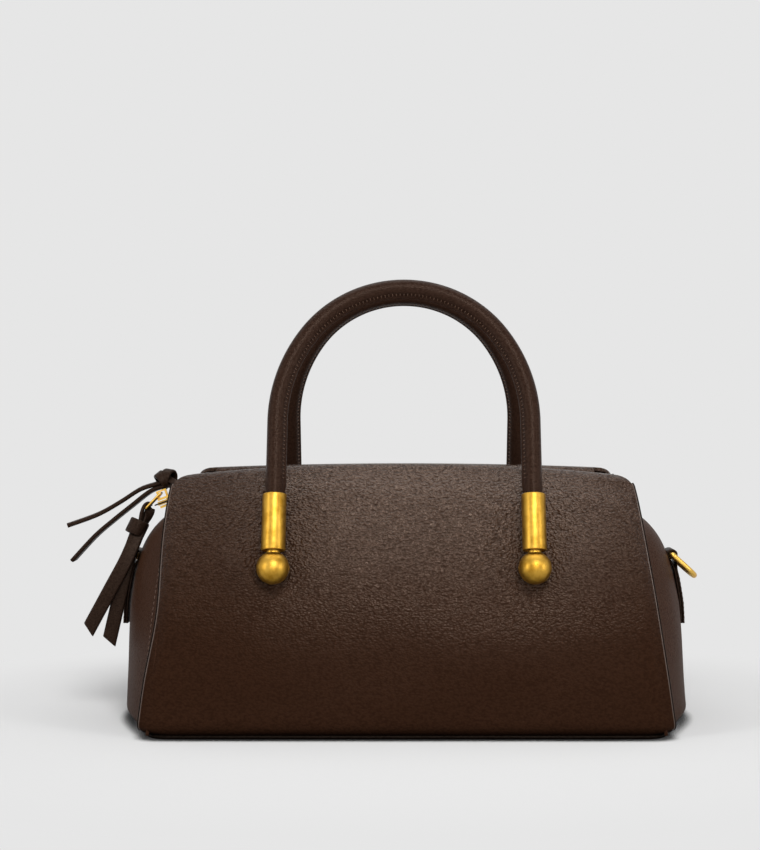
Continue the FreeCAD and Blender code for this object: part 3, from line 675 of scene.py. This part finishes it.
# Handles: a rope core covered with finer leather, the cover closed along the inside of the arch by a raised
# welt with a row of stitches on either side. Each leg ends in a brass ferrule above a brass ball.
handle_leather = pebbled_leather("fine_grain_brown_leather", "#33221a", 0.8, 0.16, 0.31, 0.13)
handle_radius = 4.6
handle_foot = 11.3
leg_top = 75.2
haunch_radius = 79.3
crown_height, crown_radius = 85.95, 61.25
handle_lean = math.radians(16.4)
handle_pivot = Vector((0.0, -70.774, ball_height))
welt_high, welt_half_angle = 1.1, 0.2
ferrule_foot, ferrule_long, ferrule_radius = 8.6, 28.7, 6.0


def handle_line(step):
    """Points along the upright handle from the left foot to the right foot, each with its way inward."""
    haunch_x = handle_half_width - haunch_radius
    turn = math.atan2(crown_height - leg_top, -haunch_x)
    half = []
    count = round((leg_top - handle_foot) / step)
    for index in range(count):
        z = handle_foot + (leg_top - handle_foot) * index / count
        half.append((Vector((handle_half_width, 0, z)), Vector((-1, 0, 0))))
    count = round(haunch_radius * turn / step)
    for index in range(count):
        way = Vector((math.cos(turn * index / count), 0, math.sin(turn * index / count)))
        half.append((Vector((haunch_x, 0, leg_top)) + haunch_radius * way, -way))
    count = round(crown_radius * (math.pi / 2 - turn) / step)
    for index in range(count):
        angle = turn + (math.pi / 2 - turn) * index / count
        way = Vector((math.cos(angle), 0, math.sin(angle)))
        half.append((Vector((0, 0, crown_height)) + crown_radius * way, -way))
    top = [(Vector((0, 0, crown_height + crown_radius)), Vector((0, 0, -1)))]
    flip = Vector((-1, 1, 1))
    return [(point * flip, way * flip) for point, way in half] + top + half[::-1]


def leaned(point):
    """A point of the upright handle moved to the front of the bag, in metres."""
    return (Matrix.Rotation(-handle_lean, 3, "X") @ point + handle_pivot) * MM


handle_points = handle_line(1.5)
handle_rows = len(handle_points) - 1
welt_start = ferrule_foot + ferrule_long + 4


def handle_place(u, v):
    point, way = handle_points[round(v * handle_rows)]
    angle = 2 * math.pi * u
    from_welt = min(angle, 2 * math.pi - angle)
    risen = min(1.0, max(0.0, (point.z - welt_start + 6) / 6))
    radius = handle_radius + risen * welt_high * math.exp(-(from_welt / welt_half_angle) ** 2)
    return leaned(point + radius * (way * math.cos(angle) + Vector((0, math.sin(angle), 0))))


front_handle = grid_piece("front_handle_leather", 72, handle_rows, handle_place)
close_tube(front_handle)
bpy.ops.object.shade_smooth_by_angle(angle=math.radians(60))
front_handle.data.materials.append(handle_leather)

stitch_angle = 0.42
stitch_pitch = 2.1
handle_stitch_places = []
for point, way in handle_line(stitch_pitch):
    if point.z < welt_start + 4:
        continue
    for side in (-1, 1):
        out = way * math.cos(stitch_angle) + Vector((0, side * math.sin(stitch_angle), 0))
        across = Vector((0, side * math.cos(stitch_angle), 0)) - way * math.sin(stitch_angle)
        spot = leaned(point + out * (handle_radius + 0.12))
        along = leaned(point + across) - leaned(point)
        handle_stitch_places.append(set_along(spot, along, leaned(point + out) - leaned(point)))
front_handle_stitches = copies_of(stitch, "front_handle_stitches", handle_stitch_places)


def rear_copy(obj, name):
    """A copy turned to the rear of the bag."""
    copy = obj.copy()
    copy.data = obj.data.copy()
    copy.name = name
    copy.data.name = name
    bpy.context.scene.collection.objects.link(copy)
    turn_round(copy)
    return copy


rear_handle = rear_copy(front_handle, "rear_handle_leather")
rear_handle_stitches = rear_copy(front_handle_stitches, "rear_handle_stitches")
finish_piece(front_handle, "front_handle", "smooth_leather", "front_handle_cover", "front_handle_core")
finish_piece(rear_handle, "rear_handle", "smooth_leather", "rear_handle_cover", "rear_handle_core")
finish_piece(front_handle_stitches, "front_handle", "smooth_leather")
finish_piece(rear_handle_stitches, "rear_handle", "smooth_leather")

# Handle brass: drawn ferrules with eased rims pressed on the handle ends, and turned balls pinned to the
# studs. The brass is brushed and lightly aged, with cloudy patches of browner tarnish.


def aged_brass(name, hex_light, hex_dark, roughness, brush_mm):
    """Brass with fine scratches and cloudy tarnish."""
    material, tree, output = new_material(name)
    place = add_node(tree, "ShaderNodeTexCoord").outputs["Object"]
    drawn = add_node(tree, "ShaderNodeVectorMath", {0: place, 1: (1.0, 1.0, 0.16)}, operation="MULTIPLY")
    brush = add_node(tree, "ShaderNodeTexNoise", {
        "Vector": drawn.outputs[0], "Scale": 1 / (brush_mm * MM), "Detail": 4.0})
    cloud = add_node(tree, "ShaderNodeTexNoise", {
        "Vector": place, "Scale": 1 / (5 * MM), "Detail": 5.0, "Roughness": 0.6})
    aged = add_node(tree, "ShaderNodeMapRange", {
        "Value": cloud.outputs["Fac"], "From Min": 0.42, "From Max": 0.66})
    tone = add_node(tree, "ShaderNodeMix", {"Factor": aged.outputs["Result"], 6: linear(hex_light),
                                            7: linear(hex_dark)}, data_type="RGBA")
    dull = add_node(tree, "ShaderNodeMapRange", {
        "Value": brush.outputs["Fac"], "From Min": 0.3, "From Max": 0.7,
        "To Min": roughness - 0.07, "To Max": roughness + 0.10})
    bump = add_node(tree, "ShaderNodeBump", {
        "Height": brush.outputs["Fac"], "Distance": 0.03 * MM, "Strength": 0.5})
    shader = add_node(tree, "ShaderNodeBsdfPrincipled", {
        "Base Color": tone.outputs[2], "Metallic": 1.0, "Roughness": dull.outputs["Result"],
        "Normal": bump.outputs["Normal"]})
    tree.links.new(shader.outputs[0], output.inputs["Surface"])
    return material


handle_brass = aged_brass("brushed_aged_brass", "#c4983c", "#a57924", 0.38, 0.5)
clear_selection()
bpy.ops.mesh.primitive_cylinder_add(vertices=64, radius=ferrule_radius * MM, depth=ferrule_long * MM,
                                    end_fill_type="NOTHING",
                                    location=(0, 0, (ferrule_foot + ferrule_long / 2) * MM))
ferrule = bpy.context.object
ferrule.name = "ferrule"
bpy.ops.object.transform_apply(location=True, rotation=True, scale=True)
wall = ferrule.modifiers.new("wall", "SOLIDIFY")
wall.thickness = (ferrule_radius - handle_radius - 0.1) * MM
wall.offset = -1
ease = ferrule.modifiers.new("eased_rims", "BEVEL")
ease.width = 0.55 * MM
ease.segments = 4
ease.limit_method = "ANGLE"
ease.angle_limit = math.radians(50)
apply_modifiers(ferrule)
bpy.ops.object.shade_smooth_by_angle(angle=math.radians(35))
ferrule.data.materials.append(handle_brass)
lean_matrix = Matrix.Translation(handle_pivot * MM) @ Matrix.Rotation(-handle_lean, 4, "X")
for end, side in (("left", -1), ("right", 1)):
    place = lean_matrix @ Matrix.Translation((side * handle_half_width * MM, 0, 0))
    front_ferrule = copies_of(ferrule, f"front_{end}_ferrule_brass", [place])
    other_end = "right" if end == "left" else "left"
    rear_ferrule = rear_copy(front_ferrule, f"rear_{other_end}_ferrule_brass")
    finish_piece(front_ferrule, "front_handle", "brass", f"front_{end}_ferrule")
    finish_piece(rear_ferrule, "rear_handle", "brass", f"rear_{other_end}_ferrule")
bpy.data.objects.remove(ferrule)


def dress(material, *nodes):
    """Gives solids that keep their own shape their finish."""
    for node in nodes:
        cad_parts[node].data.materials.clear()
        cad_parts[node].data.materials.append(material)


dress(handle_brass, "front_left_ball", "front_right_ball", "rear_left_ball", "rear_right_ball",
      "front_handle_pins", "rear_handle_pins")

# Mouth of the bag: two flat leather strips with turned edges, each hinged along the inside of its ridge, the
# zip tapes sewn under them, and the metal teeth clamped on the tapes. Fixed end pieces close the two ends.
smooth_leather = pebbled_leather("smooth_brown_leather", "#33221a", 0.7, 0.05, 0.38, 0.4)
zip_brass = aged_brass("polished_zip_brass", "#e3b95c", "#cd9c42", 0.33, 0.3)


def woven(name, hex_light, hex_dark, thread_mm):
    """Plain weave of threads at right angles, on level and upright faces."""
    material, tree, output = new_material(name)
    place = add_node(tree, "ShaderNodeTexCoord").outputs["Object"]
    waves = []
    for way in ("X", "Y", "Z"):
        wave = add_node(tree, "ShaderNodeTexWave", {"Vector": place, "Scale": 0.314 / (thread_mm * MM)},
                        bands_direction=way)
        waves.append(wave.outputs["Fac"])
    cross = add_node(tree, "ShaderNodeMath", {0: waves[0], 1: waves[1]}, operation="MULTIPLY").outputs[0]
    cross = add_node(tree, "ShaderNodeMath", {0: cross, 1: waves[2]}, operation="ADD").outputs[0]
    tone = add_node(tree, "ShaderNodeMix", {"Factor": cross, 6: linear(hex_dark), 7: linear(hex_light)},
                    data_type="RGBA")
    bump = add_node(tree, "ShaderNodeBump", {"Height": cross, "Distance": 0.1 * MM, "Strength": 0.8})
    shader = add_node(tree, "ShaderNodeBsdfPrincipled", {
        "Base Color": tone.outputs[2], "Roughness": 0.85, "Normal": bump.outputs["Normal"],
        "Specular IOR Level": 0.2})
    tree.links.new(shader.outputs[0], output.inputs["Surface"])
    return material


tape_cloth = woven("woven_brown_tape", "#2b1d15", "#1a110c", 0.5)
lining_cloth = woven("woven_beige_lining", "#8d7459", "#6f5a44", 0.6)


def soft_plate(name, node, columns, rows, material, wave_mm, edge_mm, gap_mm=None):
    """A flat soft piece in the box of its solid, a little uneven, with eased edges.

    With a gap it is two halves, one on each side of the zip.
    """
    low, high = (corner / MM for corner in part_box(node))
    halves = []
    for near, far in [(low.y, high.y)] if gap_mm is None else [(low.y, -gap_mm), (gap_mm, high.y)]:
        def place(u, v):
            x = low.x + (high.x - low.x) * u
            y = near + (far - near) * v
            z = high.z - wave_mm * (0.5 + 0.5 * noise.noise(Vector((x / 14, y / 9, 1.3))))
            return Vector((x, y, z)) * MM

        half = grid_piece(name, columns, rows, place)
        skin(half, high.z - low.z - wave_mm, edge_mm)
        half.data.materials.append(material)
        halves.append(half)
    return joined(name, halves)


mouth_seam = 9.6              # middle of the zip to the stitches on each strip
stitch_reach, stitch_step = 98, 3
zip_slot = 7.5                # half the room that the mouth's end pieces leave for the sliders
for side in ("front", "rear"):
    strip = soft_plate(f"{side}_mouth_strip", f"{side}_zip_strip", 80, 14, smooth_leather, 0.25, 0.5)
    finish_piece(strip, f"{side}_mouth", "smooth_leather", f"{side}_zip_strip")
    tape = soft_plate(f"{side}_mouth_tape", f"{side}_zip_tape", 80, 6, tape_cloth, 0.1, 0.2)
    finish_piece(tape, f"{side}_mouth", "zip_tape", f"{side}_zip_tape")
    seam_y = (-1 if side == "front" else 1) * mouth_seam
    seam_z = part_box(f"{side}_zip_strip")[1].z - 0.05 * MM
    places = [Matrix.Translation((x * MM, seam_y * MM, seam_z))
              for x in range(-stitch_reach, stitch_reach + 1, stitch_step)]
    seam = copies_of(stitch, f"{side}_mouth_stitches", places)
    finish_piece(seam, f"{side}_mouth", "smooth_leather")
for end in ("left", "right"):
    cover = soft_plate(f"{end}_mouth_end", f"{end}_top_end", 12, 14, smooth_leather, 0.25, 0.5, zip_slot)
    finish_piece(cover, "bag_body", "smooth_leather", f"{end}_top_end")

# Zip ends: beyond the mouth the closed zip runs on. At the left it slopes down over the gusset on a woven
# tail, at the right it stops between the panels.
zip_bend = 118.0
zip_slope = math.radians(20)
end_low, end_high = (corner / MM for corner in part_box("left_zip_end_tape"))
end_near = -end_high.x
tail_out = (-end_low.x - zip_bend) / math.cos(zip_slope)
end_thick, teeth_half = 0.8, 2.6
tail_halves = []
for near, far in ((end_low.y, -teeth_half), (teeth_half, end_high.y)):
    def tail_place(u, v):
        run = end_near + (zip_bend + tail_out - end_near) * u
        over = max(0.0, run - zip_bend)
        x = min(run, zip_bend) + over * math.cos(zip_slope)
        return Vector((x, near + (far - near) * v, end_high.z - over * math.sin(zip_slope))) * MM

    half = grid_piece("left_zip_tail_half", 40, 6, tail_place)
    skin(half, end_thick - 0.05, 0.2)
    half.data.materials.append(tape_cloth)
    tail_halves.append(half)
left_tail = joined("left_zip_tail_tape", tail_halves)
turn_round(left_tail)
finish_piece(left_tail, "bag_body", "zip_tape", "left_zip_end_tape")
right_tail = soft_plate("right_zip_tail_tape", "right_zip_end_tape", 14, 6, tape_cloth, 0.1, 0.2, teeth_half)
finish_piece(right_tail, "bag_body", "zip_tape", "right_zip_end_tape")
dress(zip_brass, "front_zip_teeth", "rear_zip_teeth", "left_zip_end_teeth", "right_zip_end_teeth",
      "zip_stops", "upper_slider", "lower_slider", "upper_puller", "lower_puller")

# Lining: a woven cloth sack sewn in under the facings, hanging loosely against the panels
# and resting on the base.
lining_low, lining_high = (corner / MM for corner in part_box("lining"))
lining_mouth = Vector((102.0, 32.8))    # half sizes at the mouth
clear_selection()
bpy.ops.mesh.primitive_cube_add(size=1, location=(0, 0, 0))
lining = bpy.context.object
lining.name = "lining_cloth"
lining.data.name = "lining_cloth"
edit_mode(lining)
bpy.ops.mesh.select_all(action="DESELECT")
bpy.ops.mesh.select_mode(type="FACE")
object_mode()
for face in lining.data.polygons:
    face.select = face.center.z > 0.4
edit_mode(lining)
bpy.ops.mesh.delete(type="FACE")
bpy.ops.mesh.select_all(action="SELECT")
bpy.ops.mesh.subdivide(number_cuts=39)
object_mode()
for vertex in lining.data.vertices:
    x, y, z = vertex.co
    height = lining_low.z + (lining_high.z - lining_low.z) * (z + 0.5)
    slack = 0.8 * (1 + noise.noise(Vector((x * 5, y * 4, height / 30))))
    deep = lining_high.y + (lining_mouth.y - lining_high.y) * (z + 0.5) - slack
    wide = lining_high.x + (lining_mouth.x - lining_high.x) * (z + 0.5) - slack
    vertex.co = Vector((2 * x * wide, 2 * y * deep, height)) * MM
skin(lining, 0.5, 0.1)
lining.data.materials.append(lining_cloth)
finish_piece(lining, "bag_body", "lining_fabric", "lining")

# Zip pulls: a cut strap of smooth leather looped through each brass puller, tied in an overhand knot,
# its two flat tails hanging free. The upper pair lies edge-on over the gusset, the lower pair hangs face-on.
pull_leather = pebbled_leather("smooth_dark_leather", "#2c1f18", 0.7, 0.06, 0.42, 0.14)


def strap(name, points, face, width, thick, rows, skew=0.0, level=None):
    """A flat strap along a smooth line, its face turned to the given way or its width kept along level."""
    line, _ = smooth_line(points, rows)
    half = []
    for corner in range(4):
        for step in range(4):
            angle = math.pi / 2 * (corner + step / 3)
            way = Vector((math.cos(angle), math.sin(angle)))
            mid = Vector(((width - thick) / 2 * (1 if corner in (0, 3) else -1), 0))
            half.append(mid + way * thick / 2)
    count = len(half)

    def place(u, v):
        row = round(v * rows)
        ahead = line[min(row + 1, rows)] - line[max(row - 1, 0)]
        along = ahead.normalized()
        turn = face(v) if callable(face) else face
        out = level.cross(along) if level else (turn - along * turn.dot(along)).normalized()
        side = along.cross(out)
        across, up = half[round(u * count) % count]
        slant = skew * across * max(0.0, (v - 0.9) / 0.1)
        return (line[row] + side * across + out * up + along * slant) * MM

    obj = grid_piece(name, count, rows, place)
    close_tube(obj)
    bpy.ops.object.shade_smooth_by_angle(angle=math.radians(50))
    obj.data.materials.append(pull_leather)
    return obj


def band(name, centre, axis, side, wide, high, width, thick, turns=1.0, drift=0.0):
    """A strap wound round an axis in an oval, drifting along the axis as it goes."""
    axis = axis.normalized()
    side = (side - axis * side.dot(axis)).normalized()
    other = axis.cross(side)
    steps = 28
    points = []
    for index in range(steps + 1):
        angle = 2 * math.pi * turns * index / steps
        points.append(centre + side * wide * math.cos(angle) + other * high * math.sin(angle)
                      + axis * drift * (index / steps - 0.5))

    def face(share):
        angle = 2 * math.pi * turns * share
        return side * math.cos(angle) / wide + other * math.sin(angle) / high

    return strap(name, points, face, width, thick, 56)


out_y = Vector((0, 1, 0))
upper_tails = joined("upper_pull_strap_tails", [
    strap("upper_tail_a", [Vector((x, 8.2, z)) for x, z in (
        (-129.5, 124.6), (-136, 122.6), (-144, 119.8), (-155, 112.8), (-167, 106.2), (-183.5, 100.2))],
        Vector((-0.35, -0.06, 1.0)), 8.0, 2.3, 40, 0.2),
    strap("upper_tail_b", [Vector((x, 8.0, z)) for x, z in (
        (-129, 121.8), (-137.5, 119.2), (-148, 111.2), (-158, 103.2), (-168, 94.6), (-180, 81.6))],
        Vector((-0.6, 0.06, 0.75)), 7.6, 2.2, 40, -0.2)])
finish_piece(upper_tails, "upper_pull", "smooth_leather", "upper_pull_tails")
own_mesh(upper_tails)
lower_tails = joined("lower_pull_strap_tails", [
    strap("lower_tail_a", [Vector((x, y, z)) for x, y, z in (
        (-141.0, -9.8, 100.5), (-146.9, -15.2, 84.6), (-155.2, -17.2, 68.6), (-166.8, -17.0, 47.2))],
        Vector((0, -1, 0)), 7.6, 2.2, 40, -0.55),
    strap("lower_tail_b", [Vector((x, y, z)) for x, y, z in (
        (-141.8, -8.2, 100), (-146.6, -12.8, 84), (-151.0, -14.4, 64), (-156.4, -14.2, 40.6))],
        Vector((0.1, -1, 0)), 7.6, 2.2, 40, -0.55)])
finish_piece(lower_tails, "lower_pull", "smooth_leather", "lower_pull_tails")

upper_axis = Vector((-0.9, 0, -0.42))
upper_knot_at = Vector((-129.6, 8.6, 125.2))
upper_knot = joined("upper_pull_strap_knot", [
    band("upper_wrap_a", upper_knot_at + Vector((1.4, 0, 0.7)), upper_axis + Vector((0.3, 0.25, 0.5)), out_y,
         4.7, 4.2, 5.8, 1.9, 1.0, 1.0),
    band("upper_wrap_b", upper_knot_at + Vector((-2.0, 0, -0.4)), upper_axis + Vector((-0.2, -0.5, -0.5)),
         out_y, 4.6, 4.2, 5.6, 1.9, 1.0, -1.0),
    strap("upper_core", [upper_knot_at + Vector(step) for step in (
        (-3.6, 0, -0.8), (0, 0, 0.2), (2.6, 0, 1.1))], out_y, 6.0, 5.6, 12),
    strap("upper_loop", [Vector(point) for point in (
        (-129.0, 7.6, 125.4), (-126.6, 3.6, 125.3), (-124.6, 0.8, 124.5), (-123.2, 0.0, 124.1),
        (-122.1, 0.0, 123.4), (-121.9, 0.0, 122.5), (-122.7, 0.0, 121.55), (-124.5, 0.6, 121.6),
        (-126.8, 3.8, 122.7), (-129.4, 8.2, 123.8))],
        lambda share: Vector((-math.cos(math.pi * share), -0.4 * abs(1 - 2 * share), 1.6 - 3.2 * share)),
        3.4, 0.9, 48)])
finish_piece(upper_knot, "upper_pull", "smooth_leather", "upper_pull_knot")
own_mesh(upper_knot)

lower_axis = Vector((-0.42, -0.16, -0.9))
lower_knot_at = Vector((-142.6, -8.2, 100.3))
lower_knot = joined("lower_pull_strap_knot", [
    band("lower_wrap", lower_knot_at, lower_axis, Vector((1, 0, 0)), 4.5, 5.4, 8.2, 1.5, 1.0, 0.6),
    strap("lower_core", [lower_knot_at + lower_axis.normalized() * step for step in (-3.2, 0, 3.2)],
          Vector((1, 0, 0)), 8.0, 5.2, 12),
    strap("lower_loop", [Vector(point) for point in (
        (-140.5, -6.5, 103.0), (-140.6, -4.2, 107.4), (-140.4, -1.6, 110.6), (-138.9, 0.6, 112.2),
        (-137.3, 1.2, 110.2), (-137.6, -1.4, 107.0), (-138.8, -4.4, 103.4), (-139.6, -7.0, 101.0))],
        lambda share: Vector((math.cos(math.pi * (1.05 - share)), 0.35, math.sin(math.pi * (1.05 - share)))),
        5.4, 1.8, 44)])
finish_piece(lower_knot, "lower_pull", "smooth_leather", "lower_pull_knot")

# D-rings: bent brass wire in a folded leather tab on each end, the tab stitched down on the gusset
# below the ring.
dress(zip_brass, "left_d_ring", "right_d_ring")
tab_half, tab_layer = 6.3, 1.3
ring_centre = Vector((143.75, 0, 85.5))
tab_bottom = 49.0
bar_room = 1.9                # the ring's wire with its clearance
tab_gap = 0.4                 # gusset to the tab's inner layer
tab_neck = 7.0                # ring's centre down to where the two layers meet
tab_stitch_inset, tab_stitch_start, tab_stitch_pitch = 1.4, 3.0, 2.6
outer_turn = bar_room + tab_layer / 2


def tab_side(z, layer):
    """Middle of a layer of the right tab at a height."""
    return Vector((gusset_crest(z) + tab_gap + tab_layer * (layer + 0.5), 0, z))


tab_levels = [tab_bottom + (ring_centre.z - tab_neck - tab_bottom) * step / 6 for step in range(7)]
tab_line = [tab_side(z, 1) for z in tab_levels]
for degrees in (-20, 30, 80, 130, 175):
    angle = math.radians(degrees)
    tab_line.append(ring_centre + Vector((math.cos(angle), 0, math.sin(angle))) * outer_turn)
tab_line += [tab_side(z, 0) for z in reversed(tab_levels)]
right_tab = strap("right_d_tab_leather", tab_line, None, 2 * tab_half, tab_layer - 0.06, 110, level=out_y)
left_tab = rear_copy(right_tab, "left_d_tab_leather")
finish_piece(right_tab, "bag_body", "smooth_leather", "right_d_tab")
finish_piece(left_tab, "bag_body", "smooth_leather", "left_d_tab")
tab_places = []
for step in range(9):
    z = tab_bottom + tab_stitch_start + tab_stitch_pitch * step
    face = (tab_side(z, 1) + Vector((tab_layer / 2 - 0.1, 0, 0))) * MM
    along = tab_side(z + 1, 1) - tab_side(z, 1)
    for y in (tab_stitch_inset - tab_half, tab_half - tab_stitch_inset):
        tab_places.append(set_along(face + Vector((0, y * MM, 0)), along, Vector((1, 0, 0))))
right_tab_stitches = copies_of(stitch, "right_d_tab_stitches", tab_places)
left_tab_stitches = rear_copy(right_tab_stitches, "left_d_tab_stitches")
finish_piece(right_tab_stitches, "bag_body", "smooth_leather")
finish_piece(left_tab_stitches, "bag_body", "smooth_leather")

# Hidden fittings: plated steel studs with washers and nuts, screwed up behind the panels to hold the balls,
# and the pressed grey board that stiffens the base.
plated_steel = aged_brass("nickel_plated_steel", "#c4c3bf", "#a7a6a2", 0.3, 0.4)
dress(plated_steel, "handle_studs", "stud_washers", "stud_nuts")
grey_board = woven("pressed_grey_board", "#8a857c", "#75716a", 0.9)
dress(grey_board, "base_board")

bpy.data.objects.remove(stitch)
